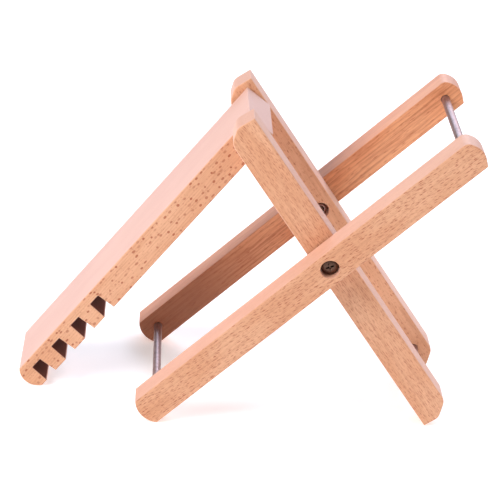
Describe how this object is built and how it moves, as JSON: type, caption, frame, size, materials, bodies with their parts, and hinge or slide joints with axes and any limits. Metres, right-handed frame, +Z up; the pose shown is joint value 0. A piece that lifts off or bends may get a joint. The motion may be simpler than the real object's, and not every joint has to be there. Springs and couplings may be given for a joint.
{
  "type": "folding guitar footstool",
  "caption": "Folding wooden footstool for a seated guitarist, with a scissor frame of crossed bars and a hinged notched foot plate that drops over a steel rod to set the height.",
  "frame": {"origin": "on the floor, below the middle of the whole object's box", "axes": "+Z up; +X along the floor away from the foot plate's tip; Y runs through the pivots from side to side, with -Y the front"},
  "size_m": [0.3064, 0.136, 0.2294],
  "materials": {
    "wood": "light beech, satin clear lacquer",
    "steel": "zinc-plated steel, slightly dull",
    "bronze": "dark bronze-plated steel"
  },
  "bodies": {
    "outer_frame": {"outer_bar_front": "wood", "outer_bar_rear": "wood", "notch_rod": "steel", "outer_foot_rod": "steel", "pivot_screw_front": "bronze", "pivot_screw_rear": "bronze", "head_washer_front": "bronze", "head_washer_rear": "bronze", "spacer_washer_front": "steel", "spacer_washer_rear": "steel", "nut_washer_front": "steel", "nut_washer_rear": "steel", "lock_nut_front": "steel", "lock_nut_rear": "steel"},
    "inner_frame": {"inner_bar_front": "wood", "inner_bar_rear": "wood", "inner_foot_rod": "steel"},
    "hinge_pin": {"plate_hinge_pin": "steel"},
    "plate": {"foot_plate": "wood"}
  },
  "joints": [
    {"name": "scissor_pivot", "type": "hinge", "parent": "outer_frame", "child": "inner_frame", "pos_m": [0.0563, 0, 0.13017], "axis": [0, -1, 0], "range_deg": [-81.2, 22]},
    {"name": "hinge_pin_turn", "type": "hinge", "parent": "inner_frame", "child": "hinge_pin", "pos_m": [-0.00321, 0, 0.20766], "axis": [0, -1, 0], "range_deg": [-15.4, 56.7]},
    {"name": "plate_swing", "type": "hinge", "parent": "hinge_pin", "child": "plate", "pos_m": [-0.00321, 0, 0.20766], "axis": [0, -1, 0], "range_deg": [-120, 16]}
  ],
  "couplings": [
    {"joint": "hinge_pin_turn", "follows": "scissor_pivot", "ratio": -0.6976}
  ]
}
